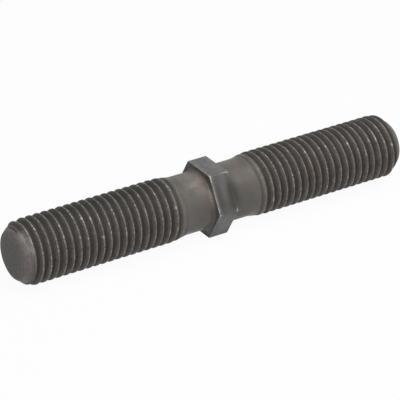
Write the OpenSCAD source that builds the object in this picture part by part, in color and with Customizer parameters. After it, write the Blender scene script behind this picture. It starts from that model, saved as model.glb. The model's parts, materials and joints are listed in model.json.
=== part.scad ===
// Double-ended camber bolt, one piece of steel.
// A hexagon collar sits in the middle, with a plain shank on each side of it.
// Each end carries a coarse rolled thread: right-hand on +X, left-hand on -X.
// The axis lies along X, the collar's middle is the origin, and two flats are level.

/* [Bolt] */
// Length over both ends
overall_length = 160; // [150:1:200]

/* [Hexagon collar] */
// Width across the flats
hex_across_flats = 25; // [25:0.5:36]
// Width along the axis
hex_width = 7.8; // [4:0.2:14]
// Bevel that breaks the collar's sharp rims
hex_edge_break = 0.2; // [0.1:0.05:0.5]

/* [Plain shank] */
// Diameter of the plain shank
shank_diameter = 21.7; // [21:0.1:23]
// Radius of the fillet where the shank meets the collar
shank_fillet = 0.6; // [0.2:0.1:0.8]

/* [Thread] */
// Diameter over the crests
thread_diameter = 23.75; // [22:0.25:27]
// Distance from one crest to the next
thread_pitch = 3; // [2.5:0.25:3.5]
// Length from an end back to the plain shank, with the run-out
thread_length = 67; // [30:0.5:68]
// Length over which the thread dies out towards the shank
runout_length = 7.5; // [3:0.5:12]
// Length of the run-out next to the shank that has no groove yet
groove_delay = 1; // [0.25:0.25:2]
// Turn of the right-hand thread about the axis, in degrees
right_thread_turn = 10; // [0:1:359]
// Turn of the left-hand thread about the axis, in degrees
left_thread_turn = 135; // [0:1:359]

/* [Ends] */
// Diameter at which each end's bevel would meet its face if nothing were rounded
end_face_diameter = 17.2; // [16.5:0.1:19.5]
// Slope of the bevel round each end, from the axis, in degrees
end_bevel_angle = 37; // [25:0.5:45]
// Slope with which the first crest rises out of the bevel, from the axis, in degrees
first_crest_angle = 49; // [30:1:60]
// Radius of the round between the bevel and the end face
end_round = 1.2; // [0.4:0.1:2.4]

/* [Smoothness] */
// Flat strips in one turn of the thread
strips_per_turn = 26; // [18:1:30]
// Straight steps in the round at each end
round_steps = 4; // [2:1:8]

/* [Hidden] */
$fn = 48;
fillet_fn = 16;
hex_sides = 6;

// Half the angle between the thread's two flanks
flank_angle = 30;
// A metric thread's basic profile is 5/8 as deep as its sharp triangle is high
thread_depth = 5 / 8 * thread_pitch * cos(flank_angle);
// Its crest flat is an eighth of the pitch, and the flanks leave the rest to the root
crest_half = thread_pitch / 16;
root_half = thread_pitch / 2 - crest_half - thread_depth * tan(flank_angle);

thread_r = thread_diameter / 2;
root_r = thread_r - thread_depth;
shank_r = shank_diameter / 2;
// The fillet stays on the collar's flat side
fillet_r = min(shank_fillet, hex_across_flats / 2 - hex_edge_break - shank_r);

end_x = overall_length / 2;
thread_x = end_x - thread_length;

// The end's round touches the bevel at its tip, and the face where the flat part begins
end_face_r = end_face_diameter / 2;
tip_x = end_x - end_round * (1 - sin(end_bevel_angle));
tip_r = end_face_r + (end_x - tip_x) * tan(end_bevel_angle);
flat_r = tip_r - end_round * cos(end_bevel_angle);
// The bevel ends a little above the thread's root, and never inside the round
knee_rise = 0.1;
knee_r = max(root_r + knee_rise, tip_r);
knee_x = end_x - (knee_r - end_face_r) / tan(end_bevel_angle);

// The thread's core starts inside the shank, a hair below its surface
core_seat = 1;
core_gap = 0.05;
core_r = shank_r - core_gap;
core_x = thread_x - core_seat;
// The bevel's cutter reaches past the crests and past the end face
cutter_margin = 1;

// The thread's rise to this power leaves the shank without a step
rise_power = 1.5;

// Corners of one groove along the axis: near land, root, root, far land
groove_corners = 4;
groove_turns = ceil((thread_length + core_seat) / thread_pitch) + 2;
last_corner = groove_corners * groove_turns - 1;

// Share of the way from the shank up to the crests: a sine over the run-out, to the rise power
function land_share(x) =
    let(t = max(0, min(1, (x - thread_x) / runout_length)))
    pow(sin(90 * t), rise_power);

// Share of the groove's full depth: a smooth step from the end of the delay to the end of the run-out
function groove_share(x) =
    let(t = max(0, min(1, (x - thread_x - groove_delay) / (runout_length - groove_delay))))
    t * t * (3 - 2 * t);

// Middle of the groove that a corner belongs to, along one strip's edge
function groove_x(strip, corner) =
    core_x + thread_pitch * (floor(corner / groove_corners) + strip / strips_per_turn - 1);

// Place of a groove's corner along the axis, kept between the core's two ends
function corner_x(strip, corner) =
    let(x = groove_x(strip, corner))
    let(land_half = root_half + groove_share(x) * thread_depth * tan(flank_angle))
    let(offsets = [-land_half, -root_half, root_half, land_half])
    max(core_x, min(end_x, x + offsets[corner % groove_corners]));

// Radius at a groove's corner: the land's at its outer corners, less the groove's depth between them
function corner_r(corner, x) =
    let(is_root = corner % groove_corners == 1 || corner % groove_corners == 2)
    let(groove_depth = is_root ? groove_share(x) * thread_depth : 0)
    core_r + land_share(x) * (thread_r - core_r) - groove_depth;

function corner_point(strip, corner) =
    let(x = corner_x(strip, corner), r = corner_r(corner, x), angle = 360 * strip / strips_per_turn)
    [x, r * cos(angle), r * sin(angle)];

// First and last corners that count on a strip's edge: all the others lie at the core's ends
function first_corner(strip) =
    max([for (corner = [0:last_corner]) if (corner_x(strip, corner) <= core_x) corner]);
function end_corner(strip) =
    min([for (corner = [0:last_corner]) if (corner_x(strip, corner) >= end_x) corner]);

// Right-hand thread on its core, from inside the shank to the end of the bolt
module thread_core() {
    firsts = [for (strip = [0:strips_per_turn - 1]) first_corner(strip)];
    ends = [for (strip = [0:strips_per_turn - 1]) end_corner(strip)];
    // After a full turn a strip's edge is the first one again, one groove further on
    function index(strip, corner) =
        strip == strips_per_turn
            ? index(0, corner + groove_corners)
            : strip * (last_corner + 1) + max(firsts[strip], min(ends[strip], corner));
    points = [
        for (strip = [0:strips_per_turn - 1])
            for (corner = [0:last_corner]) corner_point(strip, corner)
    ];
    sides = [
        for (strip = [0:strips_per_turn - 1])
            for (corner = [-groove_corners:last_corner - 1])
                let(a = index(strip, corner), b = index(strip, corner + 1))
                let(c = index(strip + 1, corner + 1), d = index(strip + 1, corner))
                each [[a, b, c], [a, c, d]]
    ];
    whole_sides = [for (f = sides) if (f[0] != f[1] && f[1] != f[2] && f[2] != f[0]) f];
    shank_cap = [for (strip = [0:strips_per_turn - 1]) index(strip, -groove_corners)];
    end_cap = [for (strip = [strips_per_turn - 1:-1:0]) index(strip, last_corner)];
    polyhedron(points, concat(whole_sides, [shank_cap, end_cap]));
}

// Ring that cuts the first crest, the bevel and its round on the +X end
module bevel_cutter() {
    outer_r = thread_r + cutter_margin;
    outer_x = end_x + cutter_margin;
    foot_x = knee_x - (outer_r - knee_r) / tan(first_crest_angle);
    round_points = [
        for (step = [0:round_steps])
            let(angle = end_bevel_angle + (90 - end_bevel_angle) * step / round_steps)
            [flat_r + end_round * cos(angle), end_x - end_round * (1 - sin(angle))]
    ];
    rotate([0, 90, 0])
        rotate_extrude()
            polygon(
                concat(
                    [[outer_r, outer_x], [outer_r, foot_x], [knee_r, knee_x]],
                    round_points,
                    [[flat_r, outer_x]]
                )
            );
}

module threaded_end() {
    difference() {
        thread_core();
        bevel_cutter();
    }
}

// Hexagonal prism about X, with two flats level
module hex_prism(across_flats, width) {
    rotate([0, 90, 0])
        rotate([0, 0, 90])
            cylinder(d = across_flats / cos(180 / hex_sides), h = width, center = true, $fn = hex_sides);
}

module hex_collar() {
    hull() {
        hex_prism(hex_across_flats, hex_width - 2 * hex_edge_break);
        hex_prism(hex_across_flats - 2 * hex_edge_break, hex_width);
    }
}

// Plain shank from the middle to the thread on +X, with its fillet against the collar
module plain_shank() {
    rotate([0, 90, 0])
        rotate_extrude() {
            square([shank_r, thread_x]);
            translate([shank_r, hex_width / 2])
                difference() {
                    square(fillet_r);
                    translate([fillet_r, fillet_r]) circle(fillet_r, $fn = fillet_fn);
                }
        }
}

module camber_bolt() {
    color("dimgray")
        union() {
            hex_collar();
            plain_shank();
            mirror([1, 0, 0]) plain_shank();
            rotate([right_thread_turn, 0, 0]) threaded_end();
            rotate([left_thread_turn, 0, 0]) mirror([1, 0, 0]) threaded_end();
        }
}

camber_bolt();
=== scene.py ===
"""Looks of a double-ended camber bolt: a phosphated steel bolt with a hexagon collar and two threads.

The bolt is one closed surface. Every stretch of it is a grid of points, worked out as whole arrays from
the angle round the axis (columns) and the place along the bolt (rows). The stretches are then welded.
The axis is X, the collar's middle is the origin and +Z is up, in metres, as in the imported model.
"""

import json
import logging
import math
from dataclasses import dataclass
from enum import Enum
from typing import Any, Mapping, Sequence, Union

import bpy
import numpy as np
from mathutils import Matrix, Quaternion, Vector


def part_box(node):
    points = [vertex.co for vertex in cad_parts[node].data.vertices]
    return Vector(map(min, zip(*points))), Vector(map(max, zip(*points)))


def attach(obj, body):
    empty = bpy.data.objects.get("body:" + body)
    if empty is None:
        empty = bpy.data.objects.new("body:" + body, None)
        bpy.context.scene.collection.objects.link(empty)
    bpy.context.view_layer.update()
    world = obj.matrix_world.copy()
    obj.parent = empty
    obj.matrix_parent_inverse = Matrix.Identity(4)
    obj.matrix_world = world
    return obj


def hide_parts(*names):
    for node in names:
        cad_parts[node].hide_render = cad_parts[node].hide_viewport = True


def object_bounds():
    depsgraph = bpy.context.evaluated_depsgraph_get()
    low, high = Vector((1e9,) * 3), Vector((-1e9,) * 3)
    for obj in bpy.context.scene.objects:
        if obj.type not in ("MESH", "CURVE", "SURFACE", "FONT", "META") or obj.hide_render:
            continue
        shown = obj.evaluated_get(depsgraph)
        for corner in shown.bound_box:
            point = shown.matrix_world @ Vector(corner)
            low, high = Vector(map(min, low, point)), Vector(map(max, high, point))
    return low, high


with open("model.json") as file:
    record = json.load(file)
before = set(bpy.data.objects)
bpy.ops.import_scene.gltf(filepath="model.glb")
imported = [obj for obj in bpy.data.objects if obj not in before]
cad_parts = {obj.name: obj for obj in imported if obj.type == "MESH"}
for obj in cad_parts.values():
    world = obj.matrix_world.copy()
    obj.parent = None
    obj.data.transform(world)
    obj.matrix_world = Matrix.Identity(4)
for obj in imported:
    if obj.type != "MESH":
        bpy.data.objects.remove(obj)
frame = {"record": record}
CAD_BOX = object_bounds()

LOG = logging.getLogger("camber_bolt")
MM = 0.001
NODE = "camber_bolt"
BODY = "root"
SLOT = "phosphated_steel"

QUAD = 4
TRIANGLE = 3
NOISE_MIDDLE = 0.5
WHITE = (1.0, 1.0, 1.0, 1.0)

Colour = tuple[float, float, float]
Limits = tuple[float, float]


class Hand(Enum):
    """Which end of the bolt a thread is on: its sign along X."""

    RIGHT = 1
    LEFT = -1


class Mask(Enum):
    """Names of the values that each point carries for the finish."""

    CREST = "crest"
    ROOT = "root"
    THREAD = "thread"
    COLLAR = "collar"
    SIDE = "side"
    RIM = "rim"
    BEVEL = "bevel"
    FACE = "face"
    NICK = "nick"
    # Scuffs of bare steel, and painted highlights and a painted reflection
    SCUFF_AND_HIGHLIGHT = "scuff_and_highlight"
    # Painted shade: darker patches that stand in for shade and shadow
    PAINTED_SHADE = "painted_shade"
    TINT = "tint"


class Lamp(Enum):
    """The studio's lamps."""

    OVERHEAD = "overhead_softbox"
    FILL = "side_softbox"


def smooth_step(value: np.ndarray, low: float, high: float) -> np.ndarray:
    """Rises from 0 at low to 1 at high as 3 t squared less 2 t cubed.

    Args:
        value: Any array.
        low: Where the rise starts.
        high: Where the rise ends.

    Returns:
        An array of the same shape, from 0 to 1.
    """
    t = np.clip((value - low) / (high - low), 0.0, 1.0)
    return t * t * (3.0 - 2.0 * t)


@dataclass(frozen=True)
class Patch:
    """A stretch of the bolt's surface."""

    points: np.ndarray
    faces: np.ndarray
    masks: Mapping[Mask, np.ndarray]

    @classmethod
    def from_grids(cls, points: np.ndarray, faces: np.ndarray, grids: Mapping[Mask, np.ndarray]) -> "Patch":
        """Makes a stretch whose masks come as grids of rows by columns."""
        return cls(points, faces, {mask: grid.ravel() for mask, grid in grids.items()})

    def mask(self, mask: Mask) -> np.ndarray:
        """Values of a mask, which are zeros where the stretch has none."""
        return self.masks.get(mask, np.zeros(len(self.points)))

    def mirrored(self) -> "Patch":
        """The same stretch on the other end: X changes sign and the faces turn round."""
        return Patch(self.points * np.array([-1.0, 1.0, 1.0]), self.faces[:, ::-1], self.masks)


def grid_faces(index: np.ndarray) -> np.ndarray:
    """Joins each cell of an index grid into a face that looks outwards.

    Args:
        index: Point numbers, rows along +X and columns round the axis, with the first column repeated last.

    Returns:
        One row of four point numbers for each cell.
    """
    corners = (index[:-1, :-1], index[:-1, 1:], index[1:, 1:], index[1:, :-1])
    return np.stack([c.ravel() for c in corners], axis=1)


def ring_index(rows: int, columns: int) -> np.ndarray:
    """Point numbers of a plain grid that closes on itself round the axis."""
    index = np.arange(rows * columns).reshape(rows, columns)
    return np.concatenate([index, index[:, :1]], axis=1)


def round_points(x: np.ndarray, radius: np.ndarray, angles: np.ndarray) -> np.ndarray:
    """Turns places along the axis and radii into points.

    Args:
        x: Place along the axis, rows by columns.
        radius: Distance from the axis, rows by columns.
        angles: Angle of each column from +Y towards +Z, in radians.

    Returns:
        Points as an array of rows times columns by three.
    """
    y = radius * np.cos(angles)
    z = radius * np.sin(angles)
    return np.stack([np.broadcast_to(x, radius.shape), y, z], axis=-1).reshape(-1, 3)


@dataclass(frozen=True)
class BoltSizes:
    """The bolt's sizes in metres and radians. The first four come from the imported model."""

    length: float
    across_flats: float
    thread_radius: float
    full_thread: float
    collar_width: float = 7.8 * MM
    rim_round: float = 0.2 * MM
    corner_round: float = 0.6 * MM
    shank_radius: float = 10.85 * MM
    fillet: float = 0.6 * MM
    pitch: float = 3.0 * MM
    runout: float = 7.5 * MM
    groove_delay: float = 1.0 * MM
    rise_power: float = 1.5
    face_radius: float = 8.6 * MM
    face_round: float = 1.2 * MM
    bevel_angle: float = math.radians(37.0)
    first_crest_angle: float = math.radians(49.0)
    knee_rise: float = 0.1 * MM
    flank_angle: float = math.radians(30.0)
    crest_round: float = 0.15 * MM
    core_seat: float = 1.0 * MM
    right_turn: float = math.radians(10.0)
    left_turn: float = math.radians(135.0)

    @classmethod
    def from_frame(cls, record: Mapping[str, Any]) -> "BoltSizes":
        """Reads the driving sizes from the node's box and the thread's mount.

        Args:
            record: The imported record.

        Returns:
            The sizes of this bolt.
        """
        low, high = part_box(NODE)
        thread = next(m for m in record["mounts"] if m["name"] == "right_hand_thread")["dims"]
        return cls(
            length=high.x - low.x,
            across_flats=high.z - low.z,
            thread_radius=thread["r_mm"] * MM,
            full_thread=thread["length_mm"] * MM,
        )

    @property
    def end_x(self) -> float:
        """Place of the end face."""
        return self.length / 2.0

    @property
    def thread_x(self) -> float:
        """Place where the thread dies out in the shank."""
        return self.end_x - self.full_thread - self.runout

    @property
    def tip_x(self) -> float:
        """Place where the bevel goes over into the round at the end face."""
        return self.end_x - self.face_round * (1.0 - math.sin(self.bevel_angle))

    @property
    def tip_radius(self) -> float:
        """Radius of the bevel where its round starts."""
        return self.face_radius + (self.end_x - self.tip_x) * math.tan(self.bevel_angle)

    @property
    def flat_radius(self) -> float:
        """Radius of the flat part of the end face."""
        return self.tip_radius - self.face_round * math.cos(self.bevel_angle)

    @property
    def knee_radius(self) -> float:
        """Radius at which the bevel ends and the first crest rises out of it."""
        return self.root_radius + self.knee_rise

    @property
    def knee_x(self) -> float:
        """Place at which the bevel ends and the first crest rises out of it."""
        return self.end_x - (self.knee_radius - self.face_radius) / math.tan(self.bevel_angle)

    @property
    def bevel_x(self) -> float:
        """Place on the bevel that no groove reaches: as far below the root as the knee is above it."""
        return self.knee_x + 2.0 * self.knee_rise / math.tan(self.bevel_angle)

    @property
    def triangle(self) -> float:
        """Height of the sharp triangle that the thread is cut from."""
        return self.pitch * math.cos(self.flank_angle)

    @property
    def depth(self) -> float:
        """Thread depth: 5/8 of the sharp triangle's height."""
        return 5.0 / 8.0 * self.triangle

    @property
    def root_radius(self) -> float:
        """Distance of the groove's bottom from the axis."""
        return self.thread_radius - self.depth

    @property
    def root_round(self) -> float:
        """Radius of the round in the groove's bottom: a quarter of the sharp triangle's height."""
        return self.triangle / 4.0

    @property
    def crest_flat(self) -> float:
        """Half the flat on a crest: a sixteenth of the pitch, less what the rounds on its edges take."""
        return self.pitch / 16.0 - self.crest_round * math.tan((math.pi / 2.0 - self.flank_angle) / 2.0)

    def turn(self, hand: Hand) -> float:
        """Turn of a thread about the axis."""
        return self.right_turn if hand is Hand.RIGHT else self.left_turn

    def bevel(self, x: np.ndarray) -> np.ndarray:
        """Radius of the bevel's cone at places along the axis."""
        return self.face_radius + (self.end_x - x) * math.tan(self.bevel_angle)

    def end_limit(self, x: np.ndarray) -> np.ndarray:
        """Largest radius that the end leaves: the bevel's cone up to its knee, then the first crest's."""
        crest = self.knee_radius + (self.knee_x - x) * math.tan(self.first_crest_angle)
        return np.where(x > self.knee_x, self.bevel(x), crest)


@dataclass(frozen=True)
class ColumnRing:
    """The angles of the columns round the bolt, closer together at the collar's six corners."""

    per_flat: int = 24
    flats: int = 6

    @property
    def from_flat(self) -> np.ndarray:
        """Angle from the middle of a column's flat: half a flat's angle times the sine of an even step."""
        even = np.arange(self.per_flat) / self.per_flat * 2.0 - 1.0
        return np.tile(math.pi / self.flats * np.sin(even * math.pi / 2.0), self.flats)

    @property
    def angles(self) -> np.ndarray:
        """Angle of each column from +Y, where a corner lies."""
        middles = (np.arange(self.flats) + 0.5) * 2.0 * math.pi / self.flats
        return np.repeat(middles, self.per_flat) + self.from_flat

    @property
    def count(self) -> int:
        """Number of columns."""
        return self.per_flat * self.flats


def turn_from(angles: np.ndarray, middle: float) -> np.ndarray:
    """Angle from a middle to each column, the short way round."""
    return np.angle(np.exp(1j * (angles - middle)))


@dataclass(frozen=True)
class Mark:
    """An oval patch on the surface, such as a nick, a scuff, a painted highlight or a patch of painted
    shade.

    A mark on a threaded end counts its place from the middle towards that end. One on the collar or a
    shank is on the side that the sign of its place says.
    """

    x: float
    angle: float
    along: float
    half_turn: float
    strength: float = 1.0

    def field(self, x: np.ndarray, angles: np.ndarray) -> np.ndarray:
        """An oval bump: e to the minus sum of both distances, each squared over its own reach."""
        turn = turn_from(angles, self.angle) / self.half_turn
        return self.strength * np.exp(-(((x - self.x) / self.along) ** 2) - turn**2)


def marks_field(marks: Sequence[Mark], x: np.ndarray, angles: np.ndarray) -> np.ndarray:
    """Adds up marks, up to 1.

    Args:
        marks: The marks.
        x: Place along the axis, rows by columns or rows by one.
        angles: Angle of each column.

    Returns:
        Values from 0 to 1, rows by columns.
    """
    fields = [mark.field(x, angles) for mark in marks]
    return np.clip(sum(fields, np.zeros((len(x), len(angles)))), 0.0, 1.0)


@dataclass(frozen=True)
class Lap:
    """A fold that rolling leaves on the bevel: a short, narrow groove round the axis."""

    x: float
    angle: float
    half_turn: float
    half_width: float
    depth: float
    fade_from: float = 0.6

    def field(self, x: np.ndarray, angles: np.ndarray) -> np.ndarray:
        """Depth of the fold: a bell along the axis that fades out towards both ends of the fold.

        Args:
            x: Place along the axis, rows by columns.
            angles: Angle of each column.

        Returns:
            Depths, rows by columns.
        """
        turn = np.abs(turn_from(angles, self.angle)) / self.half_turn
        bell = np.exp(-(((x - self.x) / self.half_width) ** 2))
        return self.depth * bell * (1.0 - smooth_step(turn, self.fade_from, 1.0))


@dataclass(frozen=True)
class EndWear:
    """The marks on one threaded end."""

    nicks: Sequence[Mark] = ()
    dents: Sequence[Mark] = ()
    # Scuffs of bare steel, and painted highlights
    scuffs_and_highlights: Sequence[Mark] = ()
    # Painted shade: darker patches that stand in for shade
    painted_shades: Sequence[Mark] = ()
    tints: Sequence[Mark] = ()
    laps: Sequence[Lap] = ()


@dataclass(frozen=True)
class MiddleWear:
    """The marks on the collar and the shanks.

    Lit sides are where the collar's sides are as light as its flats: a painted reflection.
    """

    rims: Sequence[Mark] = ()
    painted_lit_sides: Sequence[Mark] = ()
    # Rubbed steel, painted highlights and a painted reflection
    scuffs_and_highlights: Sequence[Mark] = ()
    painted_shades: Sequence[Mark] = ()
    # Painted shade and painted shadow: darker patches
    tints: Sequence[Mark] = ()


@dataclass(frozen=True)
class ThreadedEnd:
    """One threaded end, from the plain shank to the middle of the end face."""

    sizes: BoltSizes
    ring: ColumnRing
    hand: Hand
    wear: EndWear
    nick_depth: float = 0.1 * MM
    dent_depth: float = 0.6 * MM
    ripple_depth: float = 0.05 * MM
    ripple_rates: tuple[float, ...] = (1.37, 3.71, 8.23)
    cone_rows: int = 14
    round_rows: int = 8
    # Grooves past the thread's ends, half of them at each end
    spare_grooves: int = 4
    # Half the groove's width between its crests, and the rows beside its middle, in pitches
    crest_edge: float = 7.0 / 16.0
    half_steps: tuple[float, ...] = (0.1, 0.1875, 0.406, 0.437, 0.468)
    # Rings of the end's flat, as shares of its radius, and the ring where its colour starts to fade
    face_rings: tuple[float, ...] = (0.96, 0.9, 0.82, 0.74, 0.66, 0.6, 0.3, 0.0)
    face_fade: float = 0.6
    # Shares of the thread's height where nicks, dents and rubbing start, and where the groove's darkening
    # ends
    nicks_from: float = 0.7
    dents_from: float = 0.3
    rubbed_from: float = 0.5
    crest_from: float = 0.9
    darkening_to: float = 0.5
    # How much a flank is rubbed, and how much less a crest is where the ripple lowers it
    flank_rub: float = 0.4
    ripple_rub: float = 0.6
    # A crest that the bevel cuts keeps its rubbing on the bevel, as a painted highlight along the crest's
    # path, and loses it over these shares of the thread's depth
    cut_highlight_fade: Limits = (0.1, 0.6)

    def land_share(self, x: np.ndarray) -> np.ndarray:
        """Share of the way from the shank to the crests: a sine over the run-out, to the rise power."""
        t = np.clip((x - self.sizes.thread_x) / self.sizes.runout, 0.0, 1.0)
        return np.sin(t * math.pi / 2.0) ** self.sizes.rise_power

    def groove_share(self, x: np.ndarray) -> np.ndarray:
        """Share of the groove's full depth: a smooth step from the delay to the run-out's end."""
        s = self.sizes
        return smooth_step(x, s.thread_x + s.groove_delay, s.thread_x + s.runout)

    def full_height(self, step: np.ndarray) -> np.ndarray:
        """Height of the full thread above its root.

        The groove's bottom is an arc, its flanks rise at the flank angle, and its crests are narrow flats
        with rounded edges.

        Args:
            step: Distance from the groove's middle, in pitches.

        Returns:
            Height above the root, in metres.
        """
        s = self.sizes
        from_root = np.abs(step) * s.pitch
        from_crest = s.pitch / 2.0 - from_root
        root_end = s.root_round * math.cos(s.flank_angle)
        round_width = s.crest_round * math.cos(s.flank_angle)
        over = np.clip(from_crest - s.crest_flat, 0.0, round_width)
        root = s.root_round - np.sqrt(s.root_round**2 - np.minimum(from_root, root_end) ** 2)
        crest = s.crest_round - np.sqrt(s.crest_round**2 - over**2)
        flank = np.maximum(from_root - root_end, 0.0) / math.tan(s.flank_angle)
        return np.where(from_crest < s.crest_flat + round_width, s.depth - crest, root + flank)

    def offset(self, step: np.ndarray, share: np.ndarray) -> np.ndarray:
        """Place of a row from its groove's middle, along the axis.

        A shallow groove keeps its flank angle, so it is narrower and its lands are wider.

        Args:
            step: Distance from the groove's middle, in pitches.
            share: Share of the full depth at the groove.

        Returns:
            The distance in metres.
        """
        s = self.sizes
        full_half = self.crest_edge * s.pitch
        half = full_half - (1.0 - share) * s.depth * math.tan(s.flank_angle)
        inside = np.minimum(np.abs(step), self.crest_edge) / self.crest_edge * half
        land = np.maximum(np.abs(step) - self.crest_edge, 0.0) / (0.5 - self.crest_edge)
        return np.sign(step) * (inside + land * (s.pitch / 2.0 - half))

    def ripple(self, turns: np.ndarray) -> np.ndarray:
        """How far a crest is worn down along its helix: three sines of the turns, brought to 0 to 1."""
        waves = [np.sin(2.0 * math.pi * rate * turns + rate) for rate in self.ripple_rates]
        return 0.5 + sum(waves) / (2.0 * len(waves))

    def rubbed(self, relative: np.ndarray, low: np.ndarray) -> np.ndarray:
        """Rubbing of flanks and crests: two smooth steps up the thread, less where the crest is low.

        Args:
            relative: Height above the root, as a share of the thread's depth.
            low: How far the crest is worn down, from 0 to 1.

        Returns:
            Values from 0 to 1.
        """
        flank = self.flank_rub * smooth_step(relative, self.rubbed_from, self.crest_from)
        crest = (1.0 - self.flank_rub) * smooth_step(relative, self.crest_from, 1.0)
        return (flank + crest) * (1.0 - self.ripple_rub * low)

    def thread_faces(self, first: np.ndarray, last: np.ndarray, per_groove: int, rows: int) -> np.ndarray:
        """Joins the thread's rows.

        After a full turn a row meets the row one groove further on. Rows past either end are gathered at
        that end.

        Args:
            first: The row at the shank, for each column.
            last: The row at the bevel, for each column.
            per_groove: Rows in one groove.
            rows: Rows in all.

        Returns:
            One row of four point numbers for each cell.
        """
        number = np.arange(-per_groove, rows)[:, None]
        index = np.clip(number, first, last) * self.ring.count + np.arange(self.ring.count)
        seam = np.clip(number + per_groove, first[:1], last[:1]) * self.ring.count
        return grid_faces(np.concatenate([index, seam], axis=1))

    def thread(self) -> Patch:
        """Builds the thread, its run-out and the first crest.

        A row follows the helix: its place along the axis grows by one pitch a turn. The radius is that of
        the land, less the groove, and never more than the end leaves.

        Returns:
            The surface from the shank's ring to a ring on the bevel.
        """
        s = self.sizes
        angles = self.ring.angles
        row_steps = [-h for h in reversed(self.half_steps)] + [0.0, *self.half_steps, 0.5]
        per_groove = len(row_steps)
        grooves = math.ceil((s.end_x - s.thread_x) / s.pitch) + self.spare_grooves
        rows = per_groove * grooves
        step = np.tile(row_steps, grooves)[:, None]
        groove = np.repeat(np.arange(grooves), per_groove)[:, None]
        turns = (angles - s.turn(self.hand)) / (2.0 * math.pi)
        middle = s.thread_x - s.core_seat + s.pitch * (groove - self.spare_grooves // 2 + turns)
        x = middle + self.offset(step, self.groove_share(middle))
        relative = np.broadcast_to(self.full_height(step), x.shape) / s.depth
        share = self.groove_share(x)
        near_crest = smooth_step(relative, self.nicks_from, 1.0)
        low = self.ripple(groove + turns + (step > 0.0))
        nick = marks_field(self.wear.nicks, x, angles) * near_crest
        dent = marks_field(self.wear.dents, x, angles) * smooth_step(relative, self.dents_from, 1.0)
        worn = self.nick_depth * nick + self.dent_depth * dent + self.ripple_depth * low * near_crest
        land = s.shank_radius + self.land_share(x) * (s.thread_radius - s.shank_radius)
        radius = land - share * (s.depth * (1.0 - relative) + worn)
        limit = s.end_limit(x)
        cut = np.maximum(radius - limit, 0.0)
        # Where the cut is shallow the crest's rubbing stays on the bevel: a painted highlight along the
        # crest's path
        kept = 1.0 - smooth_step(cut, self.cut_highlight_fade[0] * s.depth, self.cut_highlight_fade[1] * s.depth)
        radius = np.minimum(radius, limit)

        first = np.count_nonzero(x <= s.thread_x, axis=0) - 1
        last = rows - np.count_nonzero(x >= s.bevel_x, axis=0)
        columns = np.arange(self.ring.count)
        x[first, columns] = s.thread_x
        radius[first, columns] = s.shank_radius
        x[last, columns] = s.bevel_x
        radius[last, columns] = s.bevel(s.bevel_x)

        # Darker towards the groove's bottom
        root_darkening = (1.0 - smooth_step(relative, 0.0, self.darkening_to)) * share
        masks = {
            Mask.CREST: self.rubbed(relative, low) * share * kept,
            Mask.ROOT: np.where(cut > 0.0, 0.0, root_darkening),
            Mask.THREAD: share,
            Mask.BEVEL: smooth_step(x, s.knee_x - s.knee_rise, s.knee_x + s.knee_rise),
            Mask.NICK: nick,
            # Scuffs of bare steel, and painted highlights on the bevel
            Mask.SCUFF_AND_HIGHLIGHT: marks_field(self.wear.scuffs_and_highlights, x, angles),
            # Painted shade: darker patches where shade falls on the threads' tops
            Mask.PAINTED_SHADE: marks_field(self.wear.painted_shades, x, angles),
            Mask.TINT: marks_field(self.wear.tints, x, angles),
        }
        faces = self.thread_faces(first, last, per_groove, rows)
        return Patch.from_grids(round_points(x, radius, angles), faces, masks)

    def end_face(self) -> Patch:
        """Builds the bevel and the end face.

        The bevel is a cone, less the folds on it. An arc leads from the bevel's slope to the flat, which
        is a set of rings that shrink to the middle point.

        Returns:
            The surface from the ring on the bevel to the middle of the end face.
        """
        s = self.sizes
        cone_x = np.linspace(s.bevel_x, s.tip_x, self.cone_rows)
        arc = np.linspace(s.bevel_angle, math.pi / 2.0, self.round_rows + 1)[1:]
        arc_x = s.end_x - s.face_round * (1.0 - np.sin(arc))
        arc_r = s.flat_radius + s.face_round * np.cos(arc)
        flat_r = np.array(self.face_rings) * s.flat_radius
        profile_x = np.concatenate([cone_x, arc_x, np.full(len(flat_r), s.end_x)])
        profile_r = np.concatenate([s.bevel(cone_x), arc_r, flat_r])
        shape = (len(profile_x), self.ring.count)
        x = np.broadcast_to(profile_x[:, None], shape)
        radius = profile_r[:, None] * np.ones(shape)
        fold = sum((lap.field(x, self.ring.angles) for lap in self.wear.laps), np.zeros(shape))
        # The first ring is also the thread's last one, so no fold moves it
        fold[0] = 0.0
        masks = {
            Mask.BEVEL: np.ones(shape),
            Mask.FACE: 1.0 - smooth_step(radius, self.face_fade * s.flat_radius, s.knee_radius),
            Mask.ROOT: np.clip(fold / s.knee_rise, 0.0, 1.0),
            # Scuffs of bare steel, and painted highlights on the bevel
            Mask.SCUFF_AND_HIGHLIGHT: marks_field(self.wear.scuffs_and_highlights, x, self.ring.angles),
        }
        faces = grid_faces(ring_index(*shape))
        return Patch.from_grids(round_points(x, radius - fold, self.ring.angles), faces, masks)

    def patches(self) -> list[Patch]:
        """The stretches of this end, on their own side of the bolt."""
        built = [self.thread(), self.end_face()]
        return built if self.hand is Hand.RIGHT else [patch.mirrored() for patch in built]


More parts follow.
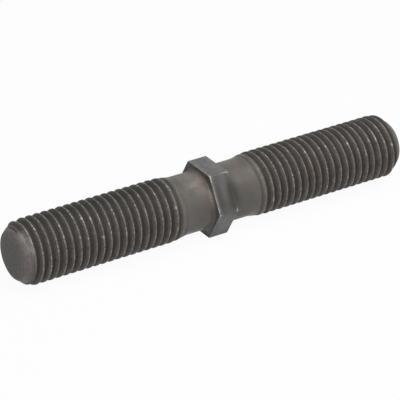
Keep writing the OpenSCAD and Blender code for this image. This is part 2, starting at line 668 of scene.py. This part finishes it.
@dataclass(frozen=True)
class CollarAndShanks:
    """The hexagon collar and the plain shank on each side of it."""

    sizes: BoltSizes
    ring: ColumnRing
    wear: MiddleWear
    rim_wear: float = 0.06
    # Share of the way from a flat's middle to its corner at which the corner's wear starts
    corner_from: float = 0.96
    shank_rows: int = 10
    fillet_rows: int = 5
    side_rows: int = 4
    rim_rows: int = 5
    # Rows of a flat from the rim to its middle, and how much of the rim's wear each one keeps
    flat_steps: tuple[float, ...] = (0.06, 0.14, 0.4, 0.7, 1.0)
    rim_fade: tuple[float, ...] = (0.8, 0.0, 0.0, 0.0, 0.0)

    def hexagon(self, apothem: np.ndarray) -> np.ndarray:
        """Radius of a hexagon with rounded corners, for each column.

        On a flat it is the apothem over the cosine of the angle from the flat's middle. Near a corner it
        is the far side of a small circle that touches both flats.

        Args:
            apothem: Half the width across flats of each row, as a column.

        Returns:
            Radii, rows by columns.
        """
        s = self.sizes
        angle = np.abs(self.ring.from_flat)
        half = math.pi / self.ring.flats
        centre = (apothem - s.corner_round) / math.cos(half)
        touch = np.arctan2((apothem - s.corner_round) * math.tan(half), apothem)
        to_corner = half - angle
        chord = np.maximum(s.corner_round**2 - (centre * np.sin(to_corner)) ** 2, 0.0)
        arc = centre * np.cos(to_corner) + np.sqrt(chord)
        return np.where(angle <= touch, apothem / np.cos(angle), arc)

    def half_rows(self) -> tuple[np.ndarray, ...]:
        """Rows of the +X half, from the thread to the collar's middle.

        The shank is straight, the fillet and the rim are quarter circles, and the side face runs from the
        fillet's circle out to the hexagon.

        Returns:
            Place along the axis, circle radius, hexagon apothem, share of the hexagon and rim mask.
        """
        s = self.sizes
        side_x = s.collar_width / 2.0
        shank_x = np.linspace(s.thread_x, side_x + s.fillet, self.shank_rows)
        quarter = np.linspace(0.0, math.pi / 2.0, self.fillet_rows + 1)[1:]
        fillet_x = side_x + s.fillet * (1.0 - np.sin(quarter))
        fillet_r = s.shank_radius + s.fillet * (1.0 - np.cos(quarter))
        side_share = np.linspace(0.0, 1.0, self.side_rows + 1)[1:]
        rim = np.linspace(0.0, math.pi / 2.0, self.rim_rows + 1)[1:]
        rim_x = side_x - s.rim_round * (1.0 - np.cos(rim))
        rim_a = s.across_flats / 2.0 - s.rim_round * (1.0 - np.sin(rim))
        flat_x = rim_x[-1] * (1.0 - np.array(self.flat_steps))
        inner = s.across_flats / 2.0 - s.rim_round
        stretches = (
            (shank_x, s.shank_radius, inner, 0.0, 0.0),
            (fillet_x, fillet_r, inner, 0.0, 0.0),
            (side_x, fillet_r[-1], inner, side_share, 0.0),
            (rim_x, fillet_r[-1], rim_a, 1.0, 1.0),
            (flat_x, fillet_r[-1], s.across_flats / 2.0, 1.0, self.rim_fade),
        )
        columns = zip(*(np.broadcast_arrays(*stretch) for stretch in stretches))
        return tuple(np.concatenate(column) for column in columns)

    def half(self, hand: Hand) -> Patch:
        """Builds one half, from the thread to the collar's middle.

        Args:
            hand: Which half it is.

        Returns:
            The half on its own side of the bolt, with its marks.
        """
        angles = self.ring.angles
        x, circle, apothem, share, rim_mask = (row[:, None] for row in self.half_rows())
        radius = (1.0 - share) * circle + share * self.hexagon(apothem)
        corner = np.abs(self.ring.from_flat) / (math.pi / self.ring.flats)
        collar = share > 0.0
        on_side = x >= self.sizes.collar_width / 2.0
        edge = np.clip(rim_mask + collar * ~on_side * smooth_step(corner, self.corner_from, 1.0), 0.0, 1.0)
        place = x * hand.value
        worn = self.rim_wear + (1.0 - self.rim_wear) * marks_field(self.wear.rims, place, angles)
        # The sides are darker except where a lit side is painted: a painted reflection
        dark = 1.0 - marks_field(self.wear.painted_lit_sides, place, angles)
        masks = {
            Mask.RIM: edge * worn,
            Mask.COLLAR: collar * np.ones(radius.shape),
            Mask.SIDE: collar * on_side * dark,
            # Rubbed steel, painted highlights on the shanks and a painted reflection beside the collar
            Mask.SCUFF_AND_HIGHLIGHT: marks_field(self.wear.scuffs_and_highlights, place, angles),
            # Painted shade and painted shadow on the collar and the shanks
            Mask.PAINTED_SHADE: marks_field(self.wear.painted_shades, place, angles),
            Mask.TINT: marks_field(self.wear.tints, place, angles) * ~collar,
        }
        faces = grid_faces(ring_index(*radius.shape))[:, ::-1]
        patch = Patch.from_grids(round_points(x, radius, angles), faces, masks)
        return patch if hand is Hand.RIGHT else patch.mirrored()

    def patches(self) -> list[Patch]:
        """Both halves."""
        return [self.half(hand) for hand in Hand]


@dataclass(frozen=True)
class Pattern:
    """One noise: its units in a metre along X, Y and Z, its finer layers and their strength."""

    per_metre: tuple[float, float, float]
    detail: float
    roughness: float


class Noise(Enum):
    """The noises that the finish is mixed from. Streaks and lines run round the axis."""

    BLOTCH = Pattern((230.0, 230.0, 230.0), 3.0, 0.55)
    MOTTLE = Pattern((900.0, 900.0, 900.0), 4.0, 0.6)
    GRAIN = Pattern((2800.0, 2800.0, 2800.0), 2.0, 0.5)
    STREAK = Pattern((700.0, 40.0, 40.0), 3.0, 0.6)
    LINES = Pattern((2600.0, 180.0, 180.0), 2.0, 0.6)


class Socket:
    """One output of a node, with the sums that a finish needs."""

    def __init__(self, graph: "Graph", output: bpy.types.NodeSocket) -> None:
        """Wraps an output.

        Args:
            graph: The graph that the output belongs to.
            output: The node's output.
        """
        self.graph = graph
        self.output = output

    def _math(self, operation: str, first: "Operand", second: "Operand") -> "Socket":
        """Adds a Math node for two operands."""
        return self.graph.node("ShaderNodeMath", {"operation": operation}, {0: first, 1: second})

    def __add__(self, other: "Operand") -> "Socket":
        """Adds a value."""
        return self._math("ADD", self, other)

    def __radd__(self, other: "Operand") -> "Socket":
        """Adds this value to a number."""
        return self._math("ADD", other, self)

    def __sub__(self, other: "Operand") -> "Socket":
        """Takes a value away."""
        return self._math("SUBTRACT", self, other)

    def __rsub__(self, other: "Operand") -> "Socket":
        """Takes this value away from a number."""
        return self._math("SUBTRACT", other, self)

    def __mul__(self, other: "Operand") -> "Socket":
        """Multiplies by a value."""
        return self._math("MULTIPLY", self, other)

    def __rmul__(self, other: "Operand") -> "Socket":
        """Multiplies a number by this value."""
        return self._math("MULTIPLY", other, self)

    def at_least(self, other: "Operand") -> "Socket":
        """The larger of two values."""
        return self._math("MAXIMUM", self, other)

    def rise(self, low: float, high: float) -> "Socket":
        """Goes smoothly from 0 at low to 1 at high."""
        inputs = {"Value": self, "From Min": low, "From Max": high}
        return self.graph.node("ShaderNodeMapRange", {"interpolation_type": "SMOOTHSTEP"}, inputs)


Operand = Union[Socket, float]


class Graph:
    """A node tree that is filled from Python expressions."""

    # The Mix node's share, first and second colour among its inputs, and its colour among its outputs
    colour_mix_sockets: tuple[int, int, int, int] = (0, 6, 7, 2)

    def __init__(self, tree: bpy.types.NodeTree) -> None:
        """Empties a node tree.

        Args:
            tree: The tree of a material or a world.
        """
        self.tree = tree
        tree.nodes.clear()

    def node(
        self,
        kind: str,
        settings: Mapping[str, Any],
        inputs: Mapping[Union[str, int], Any],
        output: Union[str, int] = 0,
    ) -> Socket:
        """Adds a node, sets it up and links it.

        Args:
            kind: The node's type.
            settings: Values of the node's own properties, set first.
            inputs: Values or sockets for the node's inputs, by name or number.
            output: Which output to return.

        Returns:
            The output, ready for sums.
        """
        made = self.tree.nodes.new(kind)
        for name, value in settings.items():
            setattr(made, name, value)
        for key, value in inputs.items():
            if isinstance(value, Socket):
                self.tree.links.new(value.output, made.inputs[key])
            else:
                made.inputs[key].default_value = value
        return Socket(self, made.outputs[output]) if len(made.outputs) else Socket(self, None)

    def mask(self, mask: Mask) -> Socket:
        """Reads one of the values that the points carry."""
        return self.node("ShaderNodeAttribute", {"attribute_name": mask.value}, {}, "Fac")

    def place(self, per_metre: Sequence[float]) -> Socket:
        """Object coordinates, scaled along each axis."""
        where = self.node("ShaderNodeTexCoord", {}, {}, "Object")
        return self.node("ShaderNodeVectorMath", {"operation": "MULTIPLY"}, {0: where, 1: tuple(per_metre)})

    def noise(self, pattern: Pattern) -> Socket:
        """Adds a cloudy noise.

        Args:
            pattern: Its size, layers and strength.

        Returns:
            A value from 0 to 1, mostly near the middle.
        """
        inputs = {
            "Vector": self.place(pattern.per_metre),
            "Scale": 1.0,
            "Detail": pattern.detail,
            "Roughness": pattern.roughness,
        }
        return self.node("ShaderNodeTexNoise", {}, inputs, "Fac")

    def blend(self, share: Operand, first: Any, second: Any) -> Socket:
        """Mixes two colours.

        Args:
            share: Share of the second colour.
            first: A colour or a colour socket.
            second: A colour or a colour socket.

        Returns:
            The mixed colour.
        """
        settings = {"data_type": "RGBA", "blend_type": "MIX", "clamp_factor": True}
        opaque = [c if isinstance(c, Socket) else (*c, 1.0) for c in (first, second)]
        share_in, first_in, second_in, colour_out = self.colour_mix_sockets
        inputs = {share_in: share, first_in: opaque[0], second_in: opaque[1]}
        return self.node("ShaderNodeMix", settings, inputs, colour_out)


@dataclass(frozen=True)
class Cloud:
    """Noises added up by weight, and the limits between which their sum counts."""

    weights: Mapping[Noise, float]
    low: float
    high: float

    def total(self, noises: Mapping[Noise, Socket]) -> Socket:
        """The sum of each noise times its weight."""
        parts = [weight * noises[noise] for noise, weight in self.weights.items()]
        return sum(parts[1:], parts[0])

    def field(self, noises: Mapping[Noise, Socket]) -> Socket:
        """The sum, brought smoothly to 0 at the low limit and 1 at the high one."""
        return self.total(noises).rise(self.low, self.high)


@dataclass(frozen=True)
class PhosphateFinish:
    """Dark phosphate on steel, rubbed bare on the crests and rims, with colours in linear light."""

    shank_brown: Colour = (0.150, 0.129, 0.115)
    shank_grey: Colour = (0.129, 0.124, 0.113)
    collar_dark: Colour = (0.131, 0.130, 0.126)
    collar_light: Colour = (0.175, 0.173, 0.168)
    side: Colour = (0.102, 0.098, 0.091)
    thread_dark: Colour = (0.093, 0.083, 0.075)
    thread_light: Colour = (0.183, 0.162, 0.148)
    groove: Colour = (0.048, 0.042, 0.037)
    cut_end: Colour = (0.143, 0.141, 0.136)
    bevel: Colour = (0.205, 0.190, 0.182)
    # Colour of the painted shade
    painted_shade: Colour = (0.074, 0.070, 0.064)
    heat_tint: Colour = (0.168, 0.128, 0.104)
    thread_tint: Colour = (0.150, 0.112, 0.101)
    rubbed: Colour = (0.250, 0.236, 0.222)
    bare: Colour = (0.530, 0.515, 0.500)
    roughness: float = 0.48
    thread_roughness: float = 0.14
    roughness_swing: float = 0.20
    specular: float = 0.06
    coat: float = 0.45
    coat_roughness: float = 0.30
    polish: float = 0.12
    rubbed_metal: float = 0.45
    bare_metal: float = 0.8
    bump_distance: float = 0.05 * MM
    bump_strength: float = 0.4
    # Where each colour, kind of wear and painted highlight shows
    shank_cloud: Cloud = Cloud({Noise.BLOTCH: 1.0}, 0.38, 0.62)
    tint_cloud: Cloud = Cloud({Noise.BLOTCH: 1.0}, 0.25, 0.5)
    coat_cloud: Cloud = Cloud({Noise.BLOTCH: 1.0}, 0.25, 0.75)
    collar_cloud: Cloud = Cloud({Noise.STREAK: 0.75, Noise.MOTTLE: 0.25}, 0.36, 0.64)
    thread_cloud: Cloud = Cloud({Noise.MOTTLE: 0.3, Noise.GRAIN: 0.3, Noise.LINES: 0.4}, 0.36, 0.64)
    end_cloud: Cloud = Cloud({Noise.MOTTLE: 0.6, Noise.GRAIN: 0.4}, 0.40, 0.60)
    scuff_highlight_cloud: Cloud = Cloud({Noise.MOTTLE: 0.5, Noise.GRAIN: 0.5}, 0.38, 0.62)
    rim_cloud: Cloud = Cloud({Noise.MOTTLE: 1.0}, 0.30, 0.60)
    rub_cloud: Cloud = Cloud({Noise.MOTTLE: 0.4, Noise.GRAIN: 0.6}, 0.42, 0.60)
    fleck_cloud: Cloud = Cloud({Noise.GRAIN: 0.6, Noise.MOTTLE: 0.4}, 0.55, 0.62)
    # How much the end's dirt and the grooves' darkening cover
    end_dirt: float = 0.4
    groove_darkening: float = 0.85
    # Least cover of scuffs and painted highlights and of a rubbed crest, and how much their cloud adds
    scuff_highlight_least: float = 0.2
    scuff_highlight_swing: float = 0.3
    rub_least: float = 0.25
    # Flecks show where a crest is rubbed between these limits
    fleck_crests: Limits = (0.4, 0.9)
    # A nick's mask is multiplied, roughened by the grain and limited, and then covers this much at most
    nick_gain: float = 1.3
    nick_swing: float = 0.4
    nick_limits: Limits = (0.2, 0.8)
    nick_cover: float = 0.7

    def coated(self, g: Graph, noises: Mapping[Noise, Socket]) -> Socket:
        """Colours the phosphate before wear.

        The shanks are blotched brown and grey with a heat tint, the collar is greyer with streaks round
        the axis and darker sides, and the threads are mottled, with fine lines, tints and dark grooves.
        The ends are cut steel with dirt in its grain, and painted shade lies over everything: darker patches
        that stand in for shade and shadow on the collar's front, the shanks' undersides and the threads'
        tops.

        Args:
            g: The material's graph.
            noises: The noises in that graph.

        Returns:
            The colour of the coated steel.
        """
        tint = g.mask(Mask.TINT)
        shank = g.blend(self.shank_cloud.field(noises), self.shank_brown, self.shank_grey)
        shank = g.blend(tint * self.tint_cloud.field(noises), shank, self.heat_tint)
        collar = g.blend(self.collar_cloud.field(noises), self.collar_dark, self.collar_light)
        threaded = g.blend(self.thread_cloud.field(noises), self.thread_dark, self.thread_light)
        threaded = g.blend(tint, threaded, self.thread_tint)
        end = g.blend(g.mask(Mask.FACE), self.bevel, self.cut_end)
        end = g.blend(self.end_dirt * self.end_cloud.field(noises), end, self.groove)
        colour = g.blend(g.mask(Mask.COLLAR), shank, collar)
        colour = g.blend(g.mask(Mask.SIDE), colour, self.side)
        colour = g.blend(g.mask(Mask.THREAD), colour, threaded)
        colour = g.blend(g.mask(Mask.BEVEL), colour, end)
        colour = g.blend(self.groove_darkening * g.mask(Mask.ROOT), colour, self.groove)
        # Painted shade lies over everything
        return g.blend(g.mask(Mask.PAINTED_SHADE), colour, self.painted_shade)

    def wear(self, g: Graph, noises: Mapping[Noise, Socket]) -> tuple[Socket, Socket]:
        """Finds where the phosphate is gone.

        Crests are rubbed where a cloudy noise lets them. Worn rims, scuffs and painted highlights, nicks and
        flecks on the crests go further, and the largest of them counts.

        Args:
            g: The material's graph.
            noises: The noises in that graph.

        Returns:
            The shares of rubbed and of bare steel; the bare share also holds painted highlights.
        """
        crest = g.mask(Mask.CREST)
        # Scuffs of bare steel, and painted highlights
        scuffed_and_lit = g.mask(Mask.SCUFF_AND_HIGHLIGHT) * (self.scuff_highlight_least + self.scuff_highlight_swing * self.scuff_highlight_cloud.field(noises))
        worn = (g.mask(Mask.RIM) * self.rim_cloud.field(noises)).at_least(scuffed_and_lit)
        flecks = crest.rise(*self.fleck_crests) * self.fleck_cloud.field(noises)
        nicked = self.nick_gain * g.mask(Mask.NICK)
        nicked = nicked + self.nick_swing * (noises[Noise.GRAIN] - NOISE_MIDDLE)
        nicked = self.nick_cover * nicked.rise(*self.nick_limits)
        rubbing = crest * (self.rub_least + (1.0 - self.rub_least) * self.rub_cloud.field(noises))
        return rubbing, worn.at_least(nicked).at_least(flecks)

    def material(self) -> bpy.types.Material:
        """Makes the material.

        Wear and painted highlights lie over the coated steel, and are smoother and more metallic than it.
        The grain swings the roughness, the flecks' noise makes a fine bump, and a thin coat gives a sheen to
        smooth parts outside the painted shade.

        Returns:
            The finished material.
        """
        made = bpy.data.materials.new(SLOT)
        made.use_nodes = True
        g = Graph(made.node_tree)
        noises = {noise: g.noise(noise.value) for noise in Noise}
        rubbing, chipped_and_lit = self.wear(g, noises)
        thread = g.mask(Mask.THREAD)
        # Smooth parts: not the threads, the bevel or the painted shade
        smooth = (1.0 - thread) * (1.0 - g.mask(Mask.BEVEL)) * (1.0 - g.mask(Mask.PAINTED_SHADE))
        colour = g.blend(rubbing, self.coated(g, noises), self.rubbed)
        grain = noises[Noise.GRAIN] - NOISE_MIDDLE
        roughness = self.roughness + self.roughness_swing * grain + self.thread_roughness * thread
        bump = {
            "Height": self.fleck_cloud.total(noises),
            "Strength": self.bump_strength,
            "Distance": self.bump_distance,
        }
        shader = g.node(
            "ShaderNodeBsdfPrincipled",
            {},
            {
                "Base Color": g.blend(chipped_and_lit, colour, self.bare),
                "Roughness": roughness - self.polish * rubbing.at_least(chipped_and_lit),
                "Metallic": (self.rubbed_metal * rubbing).at_least(self.bare_metal * chipped_and_lit),
                "Normal": g.node("ShaderNodeBump", {}, bump),
                "Specular IOR Level": self.specular,
                "Coat Weight": self.coat * smooth * self.coat_cloud.field(noises),
                "Coat Roughness": self.coat_roughness,
            },
        )
        g.node("ShaderNodeOutputMaterial", {}, {"Surface": shader})
        return made


@dataclass(frozen=True)
class CamberBolt:
    """The whole bolt as one closed, dressed piece."""

    sizes: BoltSizes
    ring: ColumnRing
    finish: PhosphateFinish
    middle_wear: MiddleWear
    end_wear: Mapping[Hand, EndWear]
    weld: float = 1e-7
    sharp_angle: float = math.radians(42.0)

    def surface(self) -> Patch:
        """Lays the stretches end to end and welds points that share a place.

        Returns:
            The closed surface, with every mask on every point.
        """
        patches = CollarAndShanks(self.sizes, self.ring, self.middle_wear).patches()
        for hand in Hand:
            patches += ThreadedEnd(self.sizes, self.ring, hand, self.end_wear[hand]).patches()
        starts = np.cumsum([0] + [len(p.points) for p in patches[:-1]])
        points = np.concatenate([p.points for p in patches])
        faces = np.concatenate([p.faces + start for p, start in zip(patches, starts)])
        masks = {mask: np.concatenate([p.mask(mask) for p in patches]) for mask in Mask}
        used = np.unique(faces)
        keys = np.round(points[used] / self.weld).astype(np.int64)
        _, kept, welded = np.unique(keys, axis=0, return_index=True, return_inverse=True)
        renumber = np.zeros(len(points), np.int64)
        renumber[used] = welded.ravel()
        kept = used[kept]
        return Patch(points[kept], renumber[faces], {mask: values[kept] for mask, values in masks.items()})

    def mesh(self) -> bpy.types.Mesh:
        """Puts the surface into a mesh.

        A cell with two corners in one place is a triangle, and one with fewer corners is left out.

        Returns:
            The mesh, smooth apart from its sharp edges.
        """
        surface = self.surface()
        same = surface.faces == np.roll(surface.faces, -1, axis=1)
        doubles = np.count_nonzero(same, axis=1)
        quads = surface.faces[doubles == 0]
        folded = surface.faces[doubles == 1]
        spare = (np.argmax(same[doubles == 1], axis=1) + 1) % QUAD
        triangles = folded[np.arange(QUAD) != spare[:, None]].reshape(-1, TRIANGLE)
        corners = np.concatenate([quads.ravel(), triangles.ravel()])
        totals = np.concatenate([np.full(len(quads), QUAD), np.full(len(triangles), TRIANGLE)])

        mesh = bpy.data.meshes.new(NODE)
        mesh.vertices.add(len(surface.points))
        mesh.vertices.foreach_set("co", surface.points.astype(np.float32).ravel())
        mesh.loops.add(len(corners))
        mesh.loops.foreach_set("vertex_index", corners.astype(np.int32))
        mesh.polygons.add(len(totals))
        mesh.polygons.foreach_set("loop_start", (np.cumsum(totals) - totals).astype(np.int32))
        mesh.update(calc_edges=True)
        mesh.validate()
        mesh.shade_smooth()
        mesh.set_sharp_from_angle(angle=self.sharp_angle)
        for mask, values in surface.masks.items():
            layer = mesh.attributes.new(mask.value, "FLOAT", "POINT")
            layer.data.foreach_set("value", values.astype(np.float32))
        return mesh

    def build(self) -> bpy.types.Object:
        """Makes the piece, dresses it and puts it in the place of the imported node.

        Returns:
            The bolt's object.
        """
        mesh = self.mesh()
        mesh.materials.append(self.finish.material())
        piece = bpy.data.objects.new("camber_bolt_steel", mesh)
        bpy.context.scene.collection.objects.link(piece)
        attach(piece, BODY)
        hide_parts(NODE)
        return piece


@dataclass(frozen=True)
class PhotoCamera:
    """A long lens at the photograph's angle."""

    azimuth: float = math.radians(-33.05)
    elevation: float = math.radians(28.30)
    roll: float = math.radians(0.20)
    distance: float = 830.0 * MM
    lens: float = 207.75
    sensor: float = 36.0
    aim_right: float = -2.67 * MM
    aim_up: float = -1.14 * MM

    def build(self) -> bpy.types.Object:
        """Makes the camera and points it a little beside the collar's middle.

        Returns:
            The camera's object.
        """
        data = bpy.data.cameras.new("photo_camera")
        data.lens = self.lens
        data.sensor_width = self.sensor
        made = bpy.data.objects.new("photo_camera", data)
        bpy.context.scene.collection.objects.link(made)
        flat = math.cos(self.elevation)
        back = Vector(
            (math.sin(self.azimuth) * flat, -math.cos(self.azimuth) * flat, math.sin(self.elevation))
        )
        right = Vector((math.cos(self.azimuth), math.sin(self.azimuth), 0.0))
        up = back.cross(right)
        made.location = back * self.distance
        aim = right * self.aim_right + up * self.aim_up - made.location
        turn = aim.to_track_quat("-Z", "Y") @ Quaternion((0.0, 0.0, 1.0), self.roll)
        made.rotation_euler = turn.to_euler()
        bpy.context.scene.camera = made
        return made


@dataclass(frozen=True)
class Studio:
    """A white table in soft light."""

    floor_z: float
    floor_size: float = 4.0
    floor_colour: Colour = (0.86, 0.86, 0.86)
    seen_glow: float = 0.95
    table_glow: float = 0.195
    seen_sky: float = 0.975
    sky: float = 0.08
    lamp_size: float = 1.0
    overhead_place: tuple[float, float, float] = (0.12, -0.28, 0.82)
    overhead_power: float = 8.6
    fill_place: tuple[float, float, float] = (-0.75, -0.55, 0.30)
    fill_power: float = 1.55

    def seen_rays(self, graph: Graph) -> Socket:
        """1 for rays from the camera, a gloss or a see-through surface, and 0 for light on the object."""
        seen = [
            graph.node("ShaderNodeLightPath", {}, {}, name)
            for name in ("Is Camera Ray", "Is Glossy Ray", "Is Transmission Ray")
        ]
        return seen[0].at_least(seen[1]).at_least(seen[2])

    def floor(self) -> bpy.types.Object:
        """Lays a pale floor under the collar: a light table, which keeps shadows.

        Returns:
            The floor's object.
        """
        half = self.floor_size / 2.0
        corners = np.array([[-half, -half], [half, -half], [half, half], [-half, half]])
        points = np.column_stack([corners, np.full(QUAD, self.floor_z)])
        mesh = bpy.data.meshes.new("floor")
        mesh.from_pydata(points.tolist(), [], [(0, 1, 2, 3)])
        material = bpy.data.materials.new("white_table")
        material.use_nodes = True
        g = Graph(material.node_tree)
        matt = g.node("ShaderNodeBsdfDiffuse", {}, {"Color": (*self.floor_colour, 1.0)})
        white = g.node("ShaderNodeEmission", {}, {"Color": WHITE, "Strength": 1.0})
        glow = self.seen_rays(g) * (self.seen_glow - self.table_glow) + self.table_glow
        lit = g.node("ShaderNodeMixShader", {}, {0: glow, 1: matt, 2: white})
        g.node("ShaderNodeOutputMaterial", {}, {"Surface": lit})
        mesh.materials.append(material)
        made = bpy.data.objects.new("floor", mesh)
        bpy.context.scene.collection.objects.link(made)
        return made

    def world(self) -> None:
        """Lights the scene evenly, and shows the floor's white where nothing else is seen."""
        world = bpy.data.worlds.new("studio")
        world.use_nodes = True
        g = Graph(world.node_tree)
        strength = self.seen_rays(g) * (self.seen_sky - self.sky) + self.sky
        shown = g.node("ShaderNodeBackground", {}, {"Color": WHITE, "Strength": strength})
        g.node("ShaderNodeOutputWorld", {}, {"Surface": shown})
        bpy.context.scene.world = world

    def lamp(self, lamp: Lamp, place: Sequence[float], power: float) -> bpy.types.Object:
        """Hangs a square softbox that points at the bolt.

        Args:
            lamp: Which lamp it is.
            place: Where it hangs, in metres.
            power: Its power in watts.

        Returns:
            The lamp's object.
        """
        data = bpy.data.lights.new(lamp.value, "AREA")
        data.shape = "SQUARE"
        data.size = self.lamp_size
        data.energy = power
        made = bpy.data.objects.new(lamp.value, data)
        bpy.context.scene.collection.objects.link(made)
        made.location = place
        made.rotation_euler = (-Vector(place)).to_track_quat("-Z", "Y").to_euler()
        return made

    def build(self) -> None:
        """Sets up the floor, the world, the lamps and plain colours."""
        self.floor()
        self.world()
        self.lamp(Lamp.OVERHEAD, self.overhead_place, self.overhead_power)
        self.lamp(Lamp.FILL, self.fill_place, self.fill_power)
        bpy.context.scene.view_settings.view_transform = "Standard"


def marks_at(places: Sequence[tuple[float, ...]]) -> list[Mark]:
    """Makes marks from rows of millimetres and degrees.

    Args:
        places: Place along the axis, angle from +Y towards +Z, reach along, reach round and strength.

    Returns:
        The marks, in metres and radians.
    """
    return [
        Mark(x * MM, math.radians(angle), along * MM, math.radians(half_turn), strength)
        for x, angle, along, half_turn, strength in places
    ]


def photo_end_wear() -> dict[Hand, EndWear]:
    """Lists the marks that the photograph shows on each threaded end, and the shade and highlights painted
    on them.

    Returns:
        The wear of both ends.
    """
    left = EndWear(
        nicks=marks_at(
            [
                (55.4, 120.0, 0.5, 3.0, 0.8),
                (52.3, 125.0, 0.5, 2.5, 0.7),
                (49.9, 162.0, 0.45, 3.0, 0.8),
                (46.5, 158.0, 0.45, 3.0, 0.7),
                (73.1, 113.0, 0.5, 3.0, 0.7),
                (73.8, 158.0, 0.5, 3.0, 0.5),
                (19.8, 149.0, 0.45, 3.0, 0.8),
                (43.4, 120.0, 0.5, 2.0, 0.5),
                (76.3, 112.0, 0.35, 9.0, 0.46),
                (76.5, 132.0, 0.35, 10.0, 0.52),
                (76.65, 150.0, 0.35, 8.0, 0.46),
                (73.3, 135.0, 0.3, 12.0, 0.3),
            ]
        ),
        dents=marks_at([(76.0, 72.0, 1.2, 26.0, 1.0)]),
        scuffs_and_highlights=marks_at([(77.9, 117.0, 0.8, 12.0, 0.8), (77.3, 140.0, 0.8, 20.0, 0.9)]),
        # Painted shade: the threads' tops and the first crest's top darkened where shade falls
        painted_shades=marks_at(
            [
                (58.0, 90.0, 26.0, 22.0, 0.88),
                (30.0, 90.0, 16.0, 20.0, 0.72),
                (76.4, 76.0, 1.5, 22.0, 0.50),
            ]
        ),
        laps=[Lap(78.45 * MM, math.radians(80.0), math.radians(24.0), 0.2 * MM, 0.18 * MM)],
    )
    right = EndWear(
        nicks=marks_at(
            [
                (56.5, 128.0, 0.45, 3.0, 0.8),
                (68.6, 134.0, 0.45, 3.0, 0.8),
                (74.6, 153.0, 0.45, 3.0, 0.8),
                (38.3, 120.0, 0.45, 2.5, 0.6),
                (65.4, 134.0, 0.45, 3.0, 0.6),
                (74.4, 118.0, 0.35, 16.0, 0.36),
                (71.4, 116.0, 0.35, 14.0, 0.30),
            ]
        ),
        # A painted highlight on the bevel
        scuffs_and_highlights=marks_at([(78.4, 106.0, 1.1, 16.0, 0.7)]),
        # Painted shade: the thread's top darkened where shade falls
        painted_shades=marks_at([(50.0, 86.0, 34.0, 18.0, 0.52)]),
        tints=marks_at([(41.5, 158.0, 3.2, 14.0, 0.7), (37.0, 168.0, 2.5, 12.0, 0.5)]),
    )
    return {Hand.LEFT: left, Hand.RIGHT: right}


def photo_middle_wear() -> MiddleWear:
    """Lists the marks that the photograph shows on the collar and the shanks, and the shade, shadow,
    highlights and reflection painted on them.

    Returns:
        The wear of the middle.
    """
    return MiddleWear(
        rims=marks_at(
            [
                (-3.8, 121.5, 0.8, 5.0, 1.0),
                (-3.8, 150.0, 0.8, 28.0, 0.42),
                (-3.8, 171.0, 0.8, 8.0, 0.3),
                (-3.8, 180.0, 0.8, 4.0, 0.9),
                (2.6, 120.0, 1.4, 3.0, 0.7),
                (3.6, 180.0, 0.8, 4.0, 0.7),
            ]
        ),
        # A painted reflection that lights the collar's left side
        painted_lit_sides=marks_at([(-3.9, 150.0, 1.0, 18.0, 1.0)]),
        # Rubbed steel that also paints the shanks' highlights on their tops, and a painted reflection beside
        # the collar's left side
        scuffs_and_highlights=marks_at(
            [
                (-8.8, 116.0, 3.2, 8.0, 0.34),
                (-4.5, 150.0, 0.5, 18.0, 0.7),
                (-6.4, 108.0, 2.0, 6.0, 0.14),
                (-9.5, 94.0, 4.0, 18.0, 0.26),
                (9.0, 112.0, 3.0, 8.0, 0.12),
            ]
        ),
        # Painted shadow of the collar on the right shank, painted shade on the collar's front and underside,
        # and on the shanks' lower sides
        painted_shades=marks_at(
            [
                (5.2, 148.0, 1.8, 30.0, 0.75),
                (2.6, 152.0, 1.3, 26.0, 0.80),
                (-2.2, 152.0, 1.0, 24.0, 0.70),
                (3.8, 158.0, 0.7, 20.0, 0.80),
                (0.0, 174.0, 4.0, 12.0, 0.40),
                (0.6, 152.0, 3.0, 22.0, 0.32),
                (0.4, 168.0, 3.2, 12.0, 0.16),
                (0.0, 212.0, 3.6, 16.0, 0.22),
                (-9.0, 214.0, 5.0, 16.0, 0.36),
                (9.0, 214.0, 5.0, 16.0, 0.36),
                (-9.5, 176.0, 4.0, 18.0, 0.12),
                (9.5, 168.0, 5.0, 24.0, 0.22),
            ]
        ),
        tints=marks_at([(-6.0, 125.0, 2.5, 30.0, 0.9)]),
    )


def main() -> None:
    """Builds the camera, the studio and the bolt."""
    logging.basicConfig(level=logging.INFO)
    sizes = BoltSizes.from_frame(frame["record"])
    PhotoCamera().build()
    Studio(floor_z=CAD_BOX[0].z).build()
    finish = PhosphateFinish()
    bolt = CamberBolt(sizes, ColumnRing(), finish, photo_middle_wear(), photo_end_wear()).build()
    LOG.info("%s: %d points, %d faces", bolt.name, len(bolt.data.vertices), len(bolt.data.polygons))


if __name__ == "__main__":
    main()
